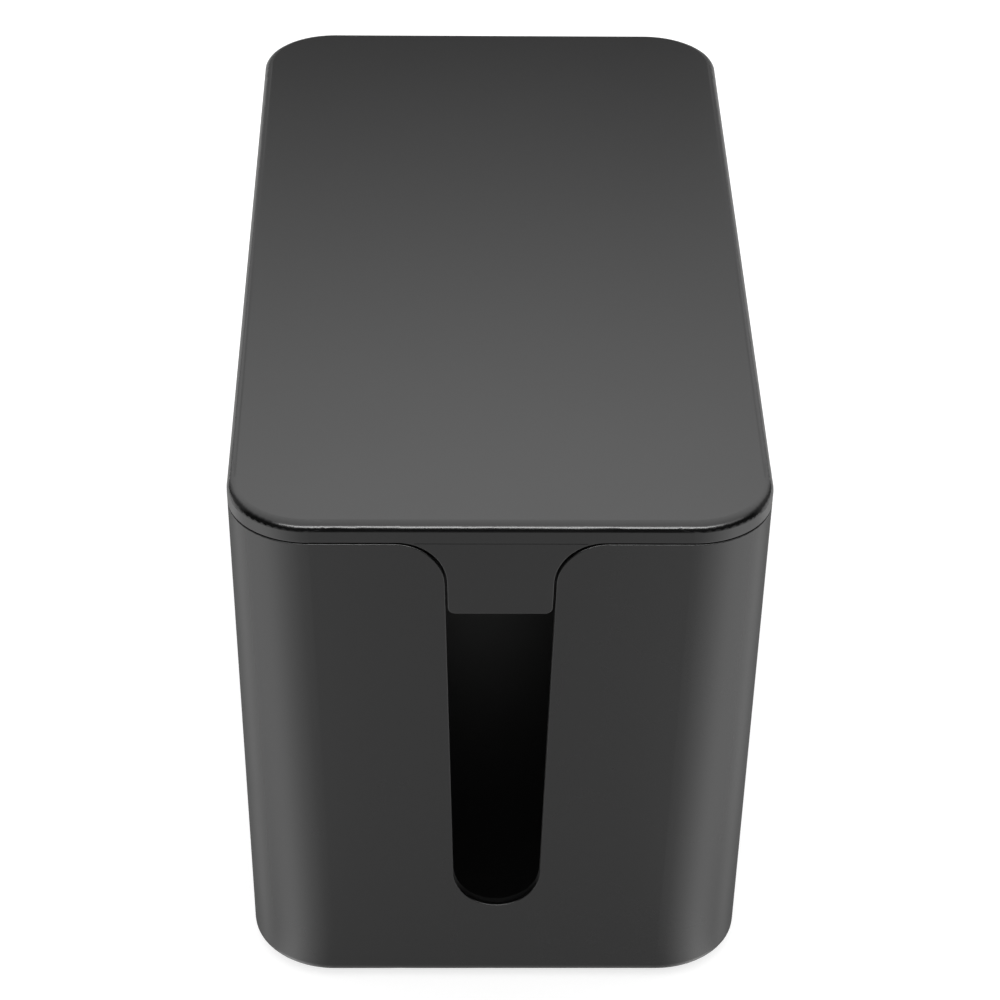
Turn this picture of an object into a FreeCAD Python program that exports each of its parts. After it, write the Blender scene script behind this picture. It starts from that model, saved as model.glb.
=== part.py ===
import FreeCAD, Part
import math
import os

# A free-standing box that hides a plug strip and its leads: an open box with a
# lead slot in each end, a lift-off lid whose tongues close the tops of the
# slots, and four rubber feet stuck into recesses under the floor.
# Millimetres. X runs across the box, Y along it and Z up. The end with the
# photographed slot faces -Y, and the feet stand on Z = 0.

# The whole box
box_width = 118.0
box_length = 234.0
box_height = 128.5
lid_height = 4.8            # lid edge above the parting line
wall_inset = 2.8            # how far each wall leans in from lid to floor
top_corner_radius = 18.0    # plan corners at the lid
foot_corner_radius = 19.2   # plan corners at the floor

# The box's shell
wall = 2.4
floor_thickness = 2.6
floor_edge_radius = 2.0
inner_floor_radius = 3.0
rim_reveal = 0.3            # how far the outer rim stands below the lid's edge
rim_reveal_depth = 0.8      # how far that narrow gap reaches into the wall
rim_edge_radius = 0.2
gate_mark_radius = 4.0
gate_mark_depth = 0.4

# The lead slot in each end wall
slot_mouth_width = 45.9     # where its flare leaves the rim
slot_flare_radius = 11.0
slot_foot_radius = 9.8
slot_foot_height = 22.0     # lowest point of the slot above the table

# The lid
lid_plate = 2.5
lid_edge_radius = 2.0
lid_foot_radius = 0.2       # softened lower edge of the lid and its tongues
tongue_drop = 18.7          # how far the tongue hangs below the parting line
tongue_gap = 0.5
tongue_corner_radius = 1.7
seam_line_width = 0.2       # shallow line across the tongue at the parting
seam_line_depth = 0.2
seam_line_end_gap = 4.5     # from the slot's mouth, so that the line ends inside the tongue
lip_thickness = 1.6
lip_depth = 5.0
lip_gap = 0.4
lip_end_gap = 1.5
lid_rib_thickness = 1.4
lid_rib_depth = 2.4
lid_rib_shares = (-0.25, 0.0, 0.25)    # places along the box, of its length
gusset_thickness = 1.5
gusset_reach = 7.0
gusset_drop = 11.0
gusset_spacing = 13.0

# The feet
foot_stand = 1.5            # how far each foot stands out below the floor
foot_radius = 6.0
foot_edge_radius = 0.5
foot_inset = 14.5           # from the floor's outer edge to a foot's centre
recess_depth = 0.8
recess_gap = 0.5
tape_thickness = 0.3
tape_margin = 0.4

cut_overrun = 1.0           # how far every cutting shape runs past its work

# Worked out from the sizes above
rim_height = box_height - lid_height
reveal_height = rim_height - rim_reveal
shoulder_height = box_height - lid_edge_radius
tongue_height = rim_height - tongue_drop
inner_floor_height = foot_stand + floor_thickness
wall_lean = wall_inset / (shoulder_height - foot_stand)
corner_lean = (foot_corner_radius - top_corner_radius) / (shoulder_height - foot_stand)


def point(x, y, z):
    return FreeCAD.Vector(x, y, z)


def outline_at(height, inset):
    # the box's plan outline at a height, moved in from the outside wall
    drop = shoulder_height - height
    half_x = box_width / 2 - wall_lean * drop - inset
    half_y = box_length / 2 - wall_lean * drop - inset
    radius = top_corner_radius + corner_lean * drop - inset
    edges = []
    corners = [(1, 1), (-1, 1), (-1, -1), (1, -1)]
    for index, (side_x, side_y) in enumerate(corners):
        centre = point(side_x * (half_x - radius), side_y * (half_y - radius), height)
        start, middle, end = [
            centre + point(radius * math.cos(angle), radius * math.sin(angle), 0)
            for angle in (math.radians(90 * index + turn) for turn in (0, 45, 90))
        ]
        edges.append(Part.Arc(start, middle, end).toShape())
    straights = []
    for index, corner in enumerate(edges):
        following = edges[(index + 1) % len(edges)]
        straights.append(Part.makeLine(corner.Vertexes[-1].Point, following.Vertexes[0].Point))
    return [edge for pair in zip(edges, straights) for edge in pair]


def drafted_block(inset, low, high):
    # the solid inside the box's leaning walls, between two heights
    outlines = [Part.Wire(outline_at(height, inset)) for height in (low, high)]
    return Part.makeLoft(outlines, True, True)


def block(low, high):
    size = high - low
    return Part.makeBox(size.x, size.y, size.z, low)


def edges_near(shape, *spots):
    # the edge of the shape whose middle is nearest to each spot
    def distance(edge, spot):
        middle = edge.valueAt((edge.FirstParameter + edge.LastParameter) / 2)
        return middle.distanceToPoint(spot)
    return [min(shape.Edges, key=lambda edge: distance(edge, spot)) for spot in spots]


def edges_at_height(shape, height):
    tolerance = cut_overrun / 1000
    return [edge for edge in shape.Edges
            if all(abs(vertex.Z - height) < tolerance for vertex in edge.Vertexes)]


def slot_side():
    # the straight side of the slot touches its round foot and its flare: the
    # lean of that line, and how far it lies from the frame's corner
    foot_centre = slot_foot_height + slot_foot_radius
    across = slot_mouth_width / 2
    up = reveal_height - slot_flare_radius - foot_centre
    reach = math.hypot(across, up)
    lean = math.atan2(up, across) + math.asin((slot_foot_radius + slot_flare_radius) / reach)
    outward = point(math.sin(lean), 0, -math.cos(lean))
    offset = outward.dot(point(0, 0, foot_centre)) + slot_foot_radius
    return outward, offset


def mirrored(spot):
    return point(-spot.x, spot.y, spot.z)


def through_profile(right_side):
    # a closed outline from its right half, run along the whole box
    # each entry is a point, or a middle and an end point for an arc
    edges = []
    last = None
    for entry in right_side:
        if isinstance(entry, tuple):
            middle, end = entry
            for flip in (lambda spot: spot, mirrored):
                edges.append(Part.Arc(flip(last), flip(middle), flip(end)).toShape())
            last = end
        else:
            if last is not None:
                for flip in (lambda spot: spot, mirrored):
                    edges.append(Part.makeLine(flip(last), flip(entry)))
            last = entry
    first = right_side[0]
    edges.append(Part.makeLine(mirrored(first), first))
    if abs(last.x) > 0:
        edges.append(Part.makeLine(mirrored(last), last))
    wire = Part.Wire(Part.sortEdges(edges)[0])
    run = box_length + 2 * cut_overrun
    face = Part.Face(wire)
    face.translate(point(0, -run / 2, 0))
    return face.extrude(point(0, run, 0))


def slot_cutter():
    outward, offset = slot_side()
    top = rim_height + cut_overrun
    edge = slot_mouth_width / 2
    flare_centre = point(edge, 0, reveal_height - slot_flare_radius)
    foot_centre = point(0, 0, slot_foot_height + slot_foot_radius)
    flare_end = flare_centre - outward * slot_flare_radius
    up = point(0, 0, 1)
    flare_middle = flare_centre + (up - outward).normalize() * slot_flare_radius
    foot_start = foot_centre + outward * slot_foot_radius
    foot_middle = foot_centre + (outward - up).normalize() * slot_foot_radius
    foot_end = point(0, 0, slot_foot_height)
    return through_profile([
        point(edge, 0, top), point(edge, 0, reveal_height),
        (flare_middle, flare_end), foot_start, (foot_middle, foot_end),
    ])


def lid_silhouette():
    # everything above the parting line, and the tongue that hangs below it
    outward, side_offset = slot_side()
    offset = side_offset - tongue_gap
    flare_radius = slot_flare_radius - tongue_gap + rim_reveal
    top = box_height + cut_overrun
    edge = box_width / 2 + cut_overrun

    def beside(height, distance):
        # the point at a height that lies so far outside the tongue's side
        return point((offset + distance - outward.z * height) / outward.x, 0, height)

    flare_centre = beside(rim_height - flare_radius, flare_radius)
    corner_centre = beside(tongue_height + tongue_corner_radius, -tongue_corner_radius)
    up = point(0, 0, 1)
    flare_start = flare_centre + up * flare_radius
    flare_middle = flare_centre + (up - outward).normalize() * flare_radius
    flare_end = flare_centre - outward * flare_radius
    corner_start = corner_centre + outward * tongue_corner_radius
    corner_middle = corner_centre + (outward - up).normalize() * tongue_corner_radius
    corner_end = corner_centre - up * tongue_corner_radius
    return through_profile([
        point(edge, 0, top), point(edge, 0, rim_height), flare_start,
        (flare_middle, flare_end), corner_start, (corner_middle, corner_end),
    ])


def foot_places():
    reach_x = box_width / 2 - wall_inset - foot_inset
    reach_y = box_length / 2 - wall_inset - foot_inset
    places = {}
    for end, side_y in (("front", -1), ("rear", 1)):
        for side, side_x in (("left", -1), ("right", 1)):
            places[end + "_" + side] = (side_x * reach_x, side_y * reach_y)
    return places


def disc(place, radius, low, high):
    x, y = place
    return Part.makeCylinder(radius, high - low, point(x, y, low))


def rim_reveal_cutter():
    # the narrow step round the outside of the rim, under the lid's edge
    high = rim_height + cut_overrun
    outside = drafted_block(-cut_overrun, reveal_height, high)
    return outside.cut(drafted_block(rim_reveal_depth, reveal_height - cut_overrun, high + cut_overrun))


def base_box():
    shell = drafted_block(0, foot_stand, rim_height)
    shell = shell.makeFillet(floor_edge_radius, edges_at_height(shell, foot_stand))
    hollow = drafted_block(wall, inner_floor_height, rim_height + cut_overrun)
    hollow = hollow.makeFillet(inner_floor_radius, edges_at_height(hollow, inner_floor_height))
    shell = shell.cut(hollow).cut(rim_reveal_cutter()).cut(slot_cutter())
    side = box_width / 2
    inside = side - wall
    rim_spots = [point(side, 0, reveal_height), point(inside, 0, rim_height), point(-inside, 0, rim_height)]
    for spot in rim_spots:
        shell = shell.makeFillet(rim_edge_radius, edges_near(shell, spot))
    recess_top = foot_stand + recess_depth
    for place in foot_places().values():
        recess = disc(place, foot_radius + recess_gap, foot_stand - cut_overrun, recess_top)
        shell = shell.cut(recess)
    mark = disc((0, 0), gate_mark_radius, foot_stand - cut_overrun, foot_stand + gate_mark_depth)
    return shell.cut(mark)


def lid_lip():
    # the ring that drops inside the box's walls, open where the tongues hang
    low = rim_height - lip_depth
    high = box_height - lid_plate
    outer = wall + lip_gap
    ring = drafted_block(outer, low, high).cut(
        drafted_block(outer + lip_thickness, low - cut_overrun, high + cut_overrun))
    half_gap = slot_mouth_width / 2 + lip_end_gap
    opening = block(point(-half_gap, -box_length / 2, low - cut_overrun),
                    point(half_gap, box_length / 2, high + cut_overrun))
    return ring.cut(opening)


def lid_ribs():
    high = box_height - lid_plate
    half_x = box_width / 2 - wall - lip_gap - lip_thickness / 2
    ribs = []
    for share in lid_rib_shares:
        y = share * box_length
        low_corner = point(-half_x, y - lid_rib_thickness / 2, high - lid_rib_depth)
        ribs.append(block(low_corner, point(half_x, y + lid_rib_thickness / 2, high)))
    return ribs


def tongue_gussets():
    # thin webs that brace each tongue against the plate
    high = box_height - lid_plate
    gussets = []
    for side_y in (-1, 1):
        outer = side_y * (box_length / 2 - wall)
        for side_x in (-1, 1):
            x = side_x * gusset_spacing / 2 - gusset_thickness / 2
            foot = outer - side_y * wall_lean * gusset_drop
            into = side_y * wall / 2
            corners = [point(x, outer + into, high), point(x, outer - side_y * gusset_reach, high),
                       point(x, foot, high - gusset_drop), point(x, foot + into, high - gusset_drop)]
            face = Part.Face(Part.makePolygon(corners + corners[:1]))
            gussets.append(face.extrude(point(gusset_thickness, 0, 0)))
    return gussets


def seam_line(side_y):
    # the shallow line that carries the parting line across a tongue
    half_x = slot_mouth_width / 2 - seam_line_end_gap
    face_y = side_y * (box_length / 2 - wall_lean * (shoulder_height - rim_height))
    near, far = sorted((face_y - seam_line_depth, face_y + seam_line_depth))
    low = rim_height - (rim_reveal + seam_line_width) / 2
    return block(point(-half_x, near, low), point(half_x, far, low + seam_line_width))


def lid():
    outside = drafted_block(0, tongue_height - cut_overrun, box_height)
    outside = outside.makeFillet(lid_edge_radius, edges_at_height(outside, box_height))
    hollow = drafted_block(wall, tongue_height - 2 * cut_overrun, box_height - lid_plate)
    shape = outside.cut(hollow).common(lid_silhouette())
    shape = shape.makeFillet(lid_foot_radius, edges_near(shape, point(box_width / 2, 0, rim_height)))
    shape = shape.fuse([lid_lip()] + lid_ribs() + tongue_gussets()).removeSplitter()
    for side_y in (-1, 1):
        shape = shape.cut(seam_line(side_y))
    return shape


def rubber_foot(place):
    top = foot_stand + recess_depth - tape_thickness
    foot = disc(place, foot_radius, 0, top)
    return foot.makeFillet(foot_edge_radius, edges_at_height(foot, 0))


def foot_tape(place):
    top = foot_stand + recess_depth
    return disc(place, foot_radius - tape_margin, top - tape_thickness, top)


def main():
    pieces = {"base_box": base_box(), "lid": lid()}
    for name, place in foot_places().items():
        pieces["foot_" + name] = rubber_foot(place)
        pieces["foot_tape_" + name] = foot_tape(place)
    os.makedirs("parts", exist_ok=True)
    for name, shape in pieces.items():
        shape.exportStep("parts/" + name + ".step")
        print(name, len(shape.Solids), "solid,", round(shape.Volume), "mm3, valid:", shape.isValid())


main()
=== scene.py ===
import math
import bpy
from mathutils import Matrix, Vector

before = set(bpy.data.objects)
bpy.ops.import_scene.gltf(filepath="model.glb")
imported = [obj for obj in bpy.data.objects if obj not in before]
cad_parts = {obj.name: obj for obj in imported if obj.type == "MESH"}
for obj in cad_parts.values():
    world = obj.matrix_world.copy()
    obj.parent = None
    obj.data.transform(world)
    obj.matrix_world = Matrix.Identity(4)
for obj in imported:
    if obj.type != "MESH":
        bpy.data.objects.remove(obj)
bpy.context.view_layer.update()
print("scene: the packed box is loaded")


# Camera, at the photograph's viewing angle

cameraView = {
    "focalMm": 126.1,
    "sensorMm": 36.0,
    "place": (-0.01324, -0.72962, 0.54300),
    "lookDownDeg": 33.67,
    "turnDeg": -1.20,
    "rollDeg": 0.79,
    "nearestSeen": 0.01,
    "farthestSeen": 50.0,
}


def makeCamera(view):
    data = bpy.data.cameras.new("photoCamera")
    data.sensor_width = view["sensorMm"]
    data.lens = view["focalMm"]
    data.clip_start = view["nearestSeen"]
    data.clip_end = view["farthestSeen"]
    camera = bpy.data.objects.new("photoCamera", data)
    bpy.context.scene.collection.objects.link(camera)
    turn = Matrix.Rotation(math.radians(view["turnDeg"]), 4, "Z")
    tilt = Matrix.Rotation(math.radians(90 - view["lookDownDeg"]), 4, "X")
    roll = Matrix.Rotation(math.radians(view["rollDeg"]), 4, "Z")
    camera.matrix_world = Matrix.Translation(view["place"]) @ turn @ tilt @ roll
    bpy.context.scene.camera = camera


makeCamera(cameraView)
print("scene: camera")


# Small helpers for building node trees; a value is a number, a colour or another node's socket

def addNode(tree, kind, x, y, **settings):
    node = tree.nodes.new(kind)
    node.location = (x, y)
    for name, value in settings.items():
        setattr(node, name, value)
    return node


def feedSocket(tree, socket, value):
    if isinstance(value, bpy.types.NodeSocket):
        tree.links.new(value, socket)
    else:
        socket.default_value = value


def setInputs(tree, node, **values):
    for name, value in values.items():
        feedSocket(tree, node.inputs[name.replace("_", " ")], value)


def mathNode(tree, operation, x, y, first, second=None, clamp=False):
    node = addNode(tree, "ShaderNodeMath", x, y, operation=operation, use_clamp=clamp)
    feedSocket(tree, node.inputs[0], first)
    if second is not None:
        feedSocket(tree, node.inputs[1], second)
    return node.outputs[0]


def mixColours(tree, x, y, first, second, share):
    node = addNode(tree, "ShaderNodeMix", x, y, data_type="RGBA")
    setInputs(tree, node, A=first, B=second, Factor=share)
    return node.outputs["Result"]


def rampNode(tree, x, y, value, start, end, low, high, kind="SMOOTHSTEP"):
    node = addNode(tree, "ShaderNodeMapRange", x, y, interpolation_type=kind)
    setInputs(tree, node, Value=value, From_Min=start, From_Max=end, To_Min=low, To_Max=high)
    return node.outputs["Result"]


def noiseNode(tree, x, y, place, scale, **values):
    node = addNode(tree, "ShaderNodeTexNoise", x, y)
    setInputs(tree, node, Vector=place, Scale=scale, **values)
    return node.outputs[0]


def objectPlace(tree, x, y):
    return addNode(tree, "ShaderNodeTexCoord", x, y).outputs["Object"]


def splitPlace(tree, x, y, place):
    node = addNode(tree, "ShaderNodeSeparateXYZ", x, y)
    tree.links.new(place, node.inputs[0])
    return node.outputs


def vectorLength(tree, x, y, vector):
    node = addNode(tree, "ShaderNodeVectorMath", x, y, operation="LENGTH")
    tree.links.new(vector, node.inputs[0])
    return node.outputs["Value"]


def newGroup(name, inputs, output):
    group = bpy.data.node_groups.new(name, "ShaderNodeTree")
    for label, value in inputs.items():
        socket = group.interface.new_socket(name=label, in_out="INPUT", socket_type="NodeSocketFloat")
        socket.default_value = value
    group.interface.new_socket(name=output, in_out="OUTPUT", socket_type="NodeSocketFloat")
    entry = addNode(group, "NodeGroupInput", -900, 0)
    leave = addNode(group, "NodeGroupOutput", 900, 0)
    return group, entry.outputs, leave.inputs[output]


# Shared effects: the moulded grain, the handled smudges, the rubbed edges, the settled dust, and
# a mask of the faces inside the walls

nearbyRays = 4        # how many rays the edges and the dust send out from a point
noiseMiddle = 0.5     # the value that a noise texture varies about


def makeMouldedGrain():
    group, given, height = newGroup(
        "mouldedGrain", {"Grain Scale": 3000.0, "Flow Scale": 18.0, "Flow Share": 0.3}, "Height")
    place = objectPlace(group, -900, -300)
    cells = addNode(group, "ShaderNodeTexVoronoi", -500, 100, feature="SMOOTH_F1")
    setInputs(group, cells, Vector=place, Scale=given["Grain Scale"], Smoothness=0.8)
    speckle = noiseNode(group, -500, -150, place, given["Grain Scale"], Detail=2.0, Roughness=0.6)
    flow = noiseNode(group, -500, -400, place, given["Flow Scale"], Detail=1.0, Roughness=0.4)
    grain = mathNode(group, "MULTIPLY", -200, 50, cells.outputs["Distance"], speckle)
    slow = mathNode(group, "MULTIPLY", -200, -350, flow, given["Flow Share"])
    group.links.new(mathNode(group, "ADD", 100, 0, grain, slow), height)
    return group


def makeHandledSmudges():
    group, given, smudge = newGroup("handledSmudges", {"Scale": 22.0, "Contrast": 1.0}, "Smudge")
    place = objectPlace(group, -900, -300)
    broad = noiseNode(group, -500, 100, place, given["Scale"],
                      Detail=4.0, Roughness=0.55, Distortion=0.6)
    centred = mathNode(group, "SUBTRACT", -200, 100, broad, noiseMiddle)
    group.links.new(mathNode(group, "MULTIPLY", 100, 100, centred, given["Contrast"]), smudge)
    return group


def makeRubbedEdges():
    group, given, rub = newGroup(
        "rubbedEdges", {"Width": 0.001, "Amount": 1.0, "Break Up Scale": 400.0}, "Rub")
    place = objectPlace(group, -900, -300)
    face = addNode(group, "ShaderNodeNewGeometry", -900, 300)
    rounded = addNode(group, "ShaderNodeBevel", -600, 150, samples=nearbyRays)
    setInputs(group, rounded, Radius=given["Width"])
    match = addNode(group, "ShaderNodeVectorMath", -350, 200, operation="DOT_PRODUCT")
    group.links.new(face.outputs["Normal"], match.inputs[0])
    group.links.new(rounded.outputs["Normal"], match.inputs[1])
    away = mathNode(group, "SUBTRACT", -150, 200, 1.0, match.outputs["Value"], clamp=True)
    breakUp = noiseNode(group, -350, -150, place, given["Break Up Scale"], Detail=3.0, Roughness=0.6)
    broken = mathNode(group, "MULTIPLY", 100, 100, away, breakUp)
    group.links.new(mathNode(group, "MULTIPLY", 350, 100, broken, given["Amount"], clamp=True), rub)
    return group


def makeSettledDust():
    group, given, dust = newGroup(
        "settledDust", {"Reach": 0.006, "Amount": 0.2, "Speck Scale": 900.0}, "Dust")
    place = objectPlace(group, -900, -300)
    hollow = addNode(group, "ShaderNodeAmbientOcclusion", -600, 150, samples=nearbyRays)
    setInputs(group, hollow, Distance=given["Reach"])
    closed = mathNode(group, "SUBTRACT", -350, 150, 1.0, hollow.outputs["AO"], clamp=True)
    specks = noiseNode(group, -350, -150, place, given["Speck Scale"], Detail=2.0, Roughness=0.7)
    mixed = mathNode(group, "MULTIPLY", 0, 50, closed, specks)
    group.links.new(mathNode(group, "MULTIPLY", 300, 50, mixed, given["Amount"], clamp=True), dust)
    return group


def makeInsideFace():
    # within a rounded rectangle that narrows downwards as the walls do
    group, given, mask = newGroup(
        "insideFace",
        {"Half Width": 0.05, "Half Length": 0.1, "Corner Radius": 0.01, "Lean": 0.02,
         "Low": 0.0, "High": 0.1},
        "Inside")
    split = splitPlace(group, -700, -300, objectPlace(group, -900, -300))
    drop = mathNode(group, "SUBTRACT", -500, -450, given["High"], split["Z"])
    narrowing = mathNode(group, "MULTIPLY", -350, -450, drop, given["Lean"])
    past = addNode(group, "ShaderNodeCombineXYZ", 100, 100)
    for axis, half in (("X", "Half Width"), ("Y", "Half Length")):
        away = mathNode(group, "ABSOLUTE", -500, 0, split[axis])
        wide = mathNode(group, "SUBTRACT", -350, 0, given[half], narrowing)
        straight = mathNode(group, "SUBTRACT", -200, 0, wide, given["Corner Radius"])
        beyond = mathNode(group, "SUBTRACT", -50, 0, away, straight)
        group.links.new(mathNode(group, "MAXIMUM", 50, 0, beyond, 0.0), past.inputs[axis])
    distance = vectorLength(group, 250, 100, past.outputs[0])
    inside = mathNode(group, "LESS_THAN", 400, 100, distance, given["Corner Radius"])
    above = mathNode(group, "GREATER_THAN", 250, -300, split["Z"], given["Low"])
    below = mathNode(group, "LESS_THAN", 250, -450, split["Z"], given["High"])
    for limit in (above, below):
        inside = mathNode(group, "MULTIPLY", 600, 0, inside, limit)
    group.links.new(inside, mask)
    return group


mouldedGrain = makeMouldedGrain()
handledSmudges = makeHandledSmudges()
rubbedEdges = makeRubbedEdges()
settledDust = makeSettledDust()
insideFace = makeInsideFace()


def placeGroup(tree, group, x, y, **values):
    node = addNode(tree, "ShaderNodeGroup", x, y, node_tree=group)
    setInputs(tree, node, **values)
    return node.outputs[0]


def newSurface(name):
    material = bpy.data.materials.new(name)
    material.use_nodes = True
    return material, material.node_tree, material.node_tree.nodes["Principled BSDF"]


def addMouldedBump(tree, surface, look):
    height = placeGroup(tree, mouldedGrain, -1000, -300, Grain_Scale=look["grainScale"])
    bump = addNode(tree, "ShaderNodeBump", -350, -300)
    setInputs(tree, bump, Distance=look["grainDepth"], Height=height)
    setInputs(tree, surface, Normal=bump.outputs["Normal"])


# Satin black plastic of the box and its lid

plasticLook = {
    "colour": (0.0026, 0.0026, 0.0027, 1.0),
    "rubbedColour": (0.012, 0.012, 0.0122, 1.0),
    "dustColour": (0.05, 0.049, 0.047, 1.0),
    "ior": 1.40,
    "grainScale": 2600.0,
    "grainDepth": 0.0000035,
    "rubWidth": 0.0012,
    "rubAmount": 1.4,
    "rubPolish": 0.10,
    "grazeStart": 0.50,
    "grazeEnd": 0.95,
    "insideRoughness": 0.15,
}
boxFinish = {"roughness": 0.27, "grazeRoughness": 0.45, "smudgeContrast": 0.06, "dust": 0.10}
lidFinish = {"roughness": 0.22, "grazeRoughness": 0.28, "smudgeContrast": 0.06, "dust": 0.05}

# the space inside the walls, where the moulding is left duller than outside
insideReach = {
    "Half Width": 0.0578, "Half Length": 0.1158, "Corner Radius": 0.0174, "Lean": 0.0224,
    "Low": 0.0030, "High": 0.1262,
}


def makePlastic(name, look, finish):
    material, tree, surface = newSurface(name)
    rub = placeGroup(tree, rubbedEdges, -1000, 300, Width=look["rubWidth"], Amount=look["rubAmount"])
    dust = placeGroup(tree, settledDust, -1000, 600, Amount=finish["dust"])
    rubbed = mixColours(tree, -600, 400, look["colour"], look["rubbedColour"], rub)
    dusty = mixColours(tree, -350, 450, rubbed, look["dustColour"], dust)

    smudge = placeGroup(tree, handledSmudges, -1000, 0, Contrast=finish["smudgeContrast"])
    smudged = mathNode(tree, "ADD", -600, 50, smudge, finish["roughness"])
    polished = mathNode(tree, "MULTIPLY", -600, 200, rub, look["rubPolish"])
    worn = mathNode(tree, "SUBTRACT", -350, 100, smudged, polished)
    facing = addNode(tree, "ShaderNodeLayerWeight", -1000, 900)
    setInputs(tree, facing, Blend=0.5)
    graze = rampNode(tree, -800, 900, facing.outputs["Facing"], look["grazeStart"], look["grazeEnd"],
                     0.0, finish["grazeRoughness"])
    grazed = mathNode(tree, "ADD", -200, 100, worn, graze)
    inside = placeGroup(tree, insideFace, -1000, 1200, **insideReach)
    duller = mathNode(tree, "MULTIPLY", -200, 300, inside, look["insideRoughness"])
    rough = mathNode(tree, "ADD", -50, 100, grazed, duller, clamp=True)

    setInputs(tree, surface, Base_Color=dusty, Roughness=rough, IOR=look["ior"])
    addMouldedBump(tree, surface, look)
    return material


boxPlastic = makePlastic("boxPlastic", plasticLook, boxFinish)
lidPlastic = makePlastic("lidPlastic", plasticLook, lidFinish)
print("scene: plastic")


# Rubber feet and the adhesive discs that hold them

rubberLook = {
    "colour": (0.016, 0.016, 0.016, 1.0),
    "dustColour": (0.11, 0.105, 0.10, 1.0),
    "roughness": 0.72,
    "grainScale": 1800.0,
    "grainDepth": 0.00002,
    "dust": 0.9,
    "dustReach": 0.002,
    "smudgeContrast": 0.2,
    "smudgeScale": 120.0,
}


def makeRubber(name, look):
    material, tree, surface = newSurface(name)
    dust = placeGroup(tree, settledDust, -1000, 400, Amount=look["dust"], Reach=look["dustReach"])
    dusty = mixColours(tree, -500, 400, look["colour"], look["dustColour"], dust)
    smudge = placeGroup(tree, handledSmudges, -1000, 0,
                        Contrast=look["smudgeContrast"], Scale=look["smudgeScale"])
    rough = mathNode(tree, "ADD", -500, 50, smudge, look["roughness"], clamp=True)
    setInputs(tree, surface, Base_Color=dusty, Roughness=rough)
    addMouldedBump(tree, surface, look)
    return material


tapeLook = {
    "colour": (0.66, 0.65, 0.60, 1.0),
    "dirtColour": (0.30, 0.28, 0.25, 1.0),
    "roughness": 0.6,
    "dirtContrast": 1.2,
    "dirtScale": 300.0,
}


def makeTape(name, look):
    material, tree, surface = newSurface(name)
    dirt = placeGroup(tree, handledSmudges, -1000, 0,
                      Contrast=look["dirtContrast"], Scale=look["dirtScale"])
    mottled = mixColours(tree, -500, 300, look["colour"], look["dirtColour"], dirt)
    rough = mathNode(tree, "ADD", -500, 0, dirt, look["roughness"], clamp=True)
    setInputs(tree, surface, Base_Color=mottled, Roughness=rough)
    return material


footRubber = makeRubber("footRubber", rubberLook)
footTape = makeTape("footTape", tapeLook)
print("scene: rubber and adhesive")


def dressNodes(finishes):
    for name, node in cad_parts.items():
        for start, material in finishes.items():
            if name.startswith(start):
                node.material_slots[0].material = material
                break


dressNodes({"base_box": boxPlastic, "lid": lidPlastic, "foot_tape": footTape, "foot_": footRubber})
print("scene: every node has its finish")


# Studio: a pale floor under a round light tent, with strip lamps, panels and two low cards in it

def newStageMaterial(name):
    material = bpy.data.materials.new(name)
    material.use_nodes = True
    material.cycles.emission_sampling = "NONE"
    tree = material.node_tree
    tree.nodes.clear()
    leave = addNode(tree, "ShaderNodeOutputMaterial", 600, 0)
    return material, tree, leave.inputs["Surface"]


def newStageObject(name, mesh):
    stageObject = bpy.data.objects.new(name, mesh)
    bpy.context.scene.collection.objects.link(stageObject)
    return stageObject


def showOnlyInGloss(stageObject):
    stageObject.visible_camera = False
    stageObject.visible_diffuse = False
    stageObject.visible_shadow = False


floorLook = {"size": 8.0, "colour": 0.46, "topUp": 0.72}


def makeFloor(look):
    half = look["size"] / 2
    corners = [(-half, -half, 0), (half, -half, 0), (half, half, 0), (-half, half, 0)]
    mesh = bpy.data.meshes.new("studioFloor")
    mesh.from_pydata(corners, [], [(0, 1, 2, 3)])
    floor = newStageObject("studioFloor", mesh)
    material, tree, leave = newStageMaterial("paleFloor")
    matt = addNode(tree, "ShaderNodeBsdfDiffuse", 0, 100)
    setInputs(tree, matt, Color=(look["colour"],) * 3 + (1.0,))
    path = addNode(tree, "ShaderNodeLightPath", -1000, -100).outputs
    seen = mathNode(tree, "ADD", -750, -100, path["Is Camera Ray"], path["Is Transmission Ray"])
    seen = mathNode(tree, "ADD", -500, -100, seen, path["Is Glossy Ray"], clamp=True)
    glow = addNode(tree, "ShaderNodeEmission", 0, -100)
    setInputs(tree, glow, Strength=mathNode(tree, "MULTIPLY", -250, -100, seen, look["topUp"]))
    both = addNode(tree, "ShaderNodeAddShader", 300, 0)
    tree.links.new(matt.outputs[0], both.inputs[0])
    tree.links.new(glow.outputs[0], both.inputs[1])
    tree.links.new(both.outputs[0], leave)
    mesh.materials.append(material)


tentLook = {
    "radius": 0.50, "skirtHeight": 0.12, "wallHeight": 0.55, "roofRise": 0.25,
    "sides": 64, "roofRings": 10,
    "darkBelow": 0.24, "brightAbove": 0.80, "dark": 0.01, "bright": 3.9,
    "wallCap": 2.45, "roofCap": 3.0, "capRiseFrom": 0.66, "capRiseTo": 0.80,
}


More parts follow.
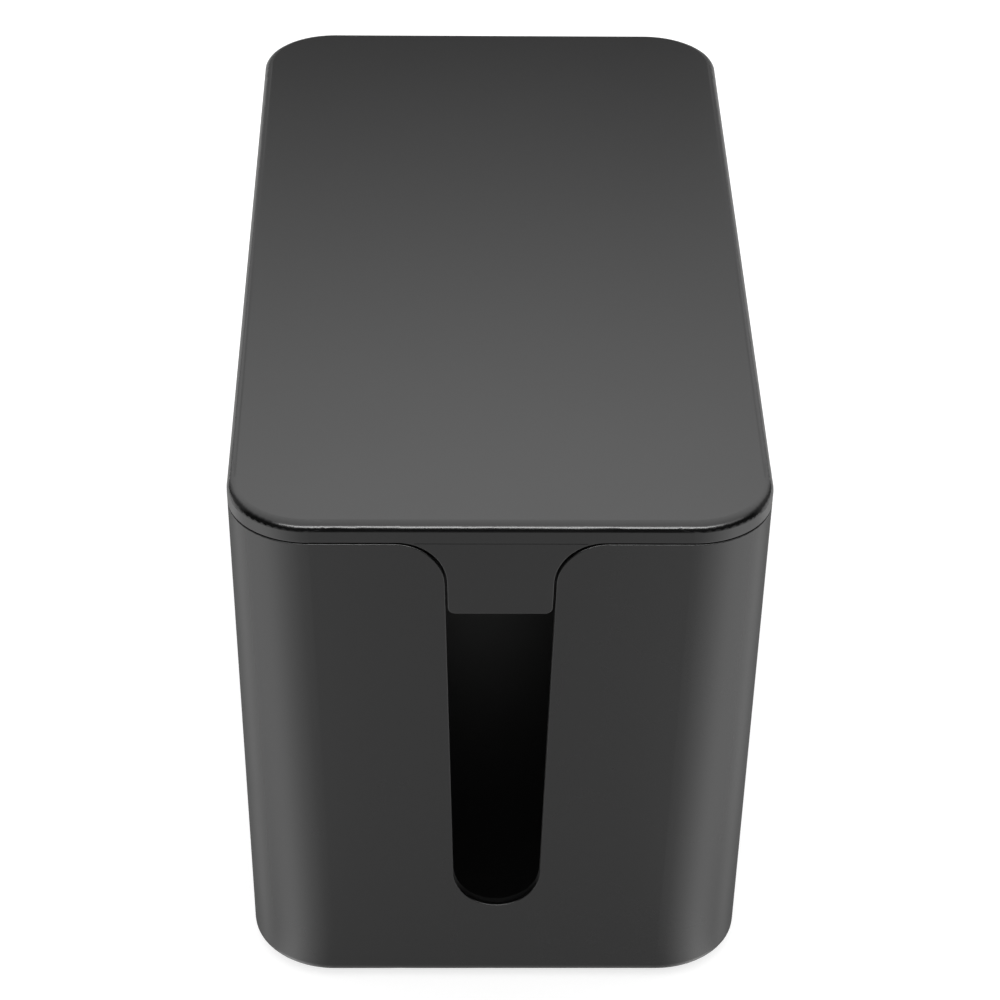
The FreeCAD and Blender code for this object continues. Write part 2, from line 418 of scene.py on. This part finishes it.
def makeLightTent(look):
    # the skirt, its lowest ring, is open behind the box, where the pale floor runs on
    radius, wall, sides = look["radius"], look["wallHeight"], look["sides"]
    profile = [(radius, 0.0), (radius, look["skirtHeight"]), (radius, wall)]
    for ring in range(1, look["roofRings"]):
        turn = math.pi / 2 * ring / look["roofRings"]
        profile.append((radius * math.cos(turn), wall + look["roofRise"] * math.sin(turn)))
    corners, faces = [], []
    for reach, height in profile:
        for side in range(sides):
            turn = 2 * math.pi * side / sides
            corners.append((reach * math.cos(turn), reach * math.sin(turn), height))
    for ring in range(len(profile) - 1):
        for side in range(sides):
            if ring == 0 and side < sides / 2:
                continue
            a, b = ring * sides + side, ring * sides + (side + 1) % sides
            faces.append((a, b, b + sides, a + sides))
    faces.append(tuple(range(len(corners) - sides, len(corners))))
    mesh = bpy.data.meshes.new("lightTent")
    mesh.from_pydata(corners, [], faces)
    tent = newStageObject("lightTent", mesh)
    showOnlyInGloss(tent)
    material, tree, leave = newStageMaterial("tentCloth")
    height = splitPlace(tree, -650, 0, objectPlace(tree, -900, 0))["Z"]
    rise = rampNode(tree, -400, 0, height, look["darkBelow"], look["brightAbove"],
                    look["dark"], look["bright"])
    cap = rampNode(tree, -400, -300, height, look["capRiseFrom"], look["capRiseTo"],
                   look["wallCap"], look["roofCap"], kind="LINEAR")
    glow = addNode(tree, "ShaderNodeEmission", 100, 0)
    setInputs(tree, glow, Strength=mathNode(tree, "MINIMUM", -150, 0, rise, cap))
    tree.links.new(glow.outputs[0], leave)
    mesh.materials.append(material)


cardLook = {
    "corner": (0.0395, -0.0975, 0.001), "roundness": 0.0185, "reach": 0.36, "back": 0.16,
    "level": 1.50, "startDeg": -5, "fullDeg": 37, "fadeDeg": 30, "endDeg": 64,
}


def makeReflectorCards(look):
    # two graded cards on the floor, one off each front corner, that only the plastic mirrors; the
    # grading follows the angle round the box's corner at which a level ray leaves for each place
    reach, back = look["reach"], look["back"]
    mesh = bpy.data.meshes.new("reflectorCard")
    mesh.from_pydata([(0, -reach, 0), (reach, -reach, 0), (reach, back, 0), (0, back, 0)],
                     [], [(0, 1, 2, 3)])
    material, tree, leave = newStageMaterial("cardGlow")
    place = objectPlace(tree, -1100, 0)
    split = splitPlace(tree, -900, 0, place)
    ahead = mathNode(tree, "MULTIPLY", -700, -100, split["Y"], -1.0)
    bearing = mathNode(tree, "ARCTAN2", -500, 0, split["X"], ahead)
    # near the corner a ray leaves at the bearing itself, and far away at half of it
    away = vectorLength(tree, -900, 300, place)
    near = mathNode(tree, "DIVIDE", -750, 300, look["roundness"], away)
    nearer = mathNode(tree, "ADD", -650, 300, near, 1.0)
    share = mathNode(tree, "MULTIPLY", -520, 300, nearer, 0.5)
    turn = mathNode(tree, "MULTIPLY", -400, 150, bearing, share)
    rise = rampNode(tree, -300, 100, turn, math.radians(look["startDeg"]),
                    math.radians(look["fullDeg"]), 0.0, look["level"])
    fade = rampNode(tree, -300, -200, turn, math.radians(look["fadeDeg"]),
                    math.radians(look["endDeg"]), 1.0, 0.0)
    glow = addNode(tree, "ShaderNodeEmission", 200, 0)
    setInputs(tree, glow, Strength=mathNode(tree, "MULTIPLY", 0, 0, rise, fade))
    clear = addNode(tree, "ShaderNodeBsdfTransparent", 200, -150)
    both = addNode(tree, "ShaderNodeAddShader", 400, 0)
    tree.links.new(glow.outputs[0], both.inputs[0])
    tree.links.new(clear.outputs[0], both.inputs[1])
    tree.links.new(both.outputs[0], leave)
    mesh.materials.append(material)
    for side in (-1, 1):
        card = newStageObject("reflectorCard", mesh)
        card.location = (side * look["corner"][0], look["corner"][1], look["corner"][2])
        card.scale.x = side
        showOnlyInGloss(card)


def makeSky():
    world = bpy.data.worlds.new("studioSky")
    bpy.context.scene.world = world
    world.use_nodes = True
    room = world.node_tree.nodes["Background"]
    setInputs(world.node_tree, room, Color=(1.0, 1.0, 1.0, 1.0), Strength=1.0)


# A pair has one lamp on each side; the one given is on the right. The lamps that are only
# mirrored shape the plastic's highlights and leave the matt light alone.
softboxes = {
    "frontStrip": {"place": (0.0, -0.45, 0.352), "size": (0.52, 0.090), "watts": 2.9,
                   "aim": (0.0, -0.12, 0.12), "onlyMirrored": True},
    "cornerStrip": {"place": (0.237, -0.368, 0.352), "size": (0.11, 0.090), "watts": 0.24,
                    "aim": (0.041, -0.099, 0.12), "onlyMirrored": True, "pair": True},
    "farStrip": {"place": (0.329, -0.266, 0.352), "size": (0.22, 0.090), "watts": 0.15,
                 "aim": (0.041, -0.099, 0.12), "onlyMirrored": True},
    "frontPanel": {"place": (0.0, -0.45, 0.41), "size": (0.50, 0.09), "watts": 0.20,
                   "aim": (0.0, -0.12, 0.12), "onlyMirrored": True},
    "rearPanel": {"place": (0.0, 0.46, 0.36), "size": (0.50, 0.36), "watts": 0.10,
                  "aim": (0.0, 0.0, 0.13), "onlyMirrored": True},
    "rearSidePanel": {"place": (0.22, 0.38, 0.19), "size": (0.26, 0.28), "watts": 0.11,
                      "aim": (0.0, 0.0, 0.13), "pair": True},
    "sidePanel": {"place": (0.34, 0.32, 0.29), "size": (0.30, 0.30), "watts": 0.20,
                  "aim": (0.0, 0.0, 0.13), "pair": True},
    "lowPanel": {"place": (0.44, 0.06, 0.16), "size": (0.26, 0.28), "watts": 0.08,
                 "aim": (0.0, 0.0, 0.13), "pair": True},
}


def makeSoftbox(name, box, side):
    data = bpy.data.lights.new(name, "AREA")
    data.shape = "RECTANGLE"
    data.size, data.size_y = box["size"]
    data.energy = box["watts"]
    lamp = bpy.data.objects.new(name, data)
    bpy.context.scene.collection.objects.link(lamp)
    mirror = Vector((side, 1.0, 1.0))
    lamp.location = Vector(box["place"]) * mirror
    aim = Vector(box["aim"]) * mirror - lamp.location
    lamp.rotation_mode = "QUATERNION"
    lamp.rotation_quaternion = aim.to_track_quat("-Z", "Y")
    lamp.visible_camera = False
    lamp.visible_diffuse = not box.get("onlyMirrored", False)


makeFloor(floorLook)
makeLightTent(tentLook)
makeReflectorCards(cardLook)
makeSky()
for name, box in softboxes.items():
    for side in (-1, 1) if box.get("pair") else (1,):
        makeSoftbox(name, box, side)
bpy.context.scene.view_settings.view_transform = "Standard"
print("scene: studio")
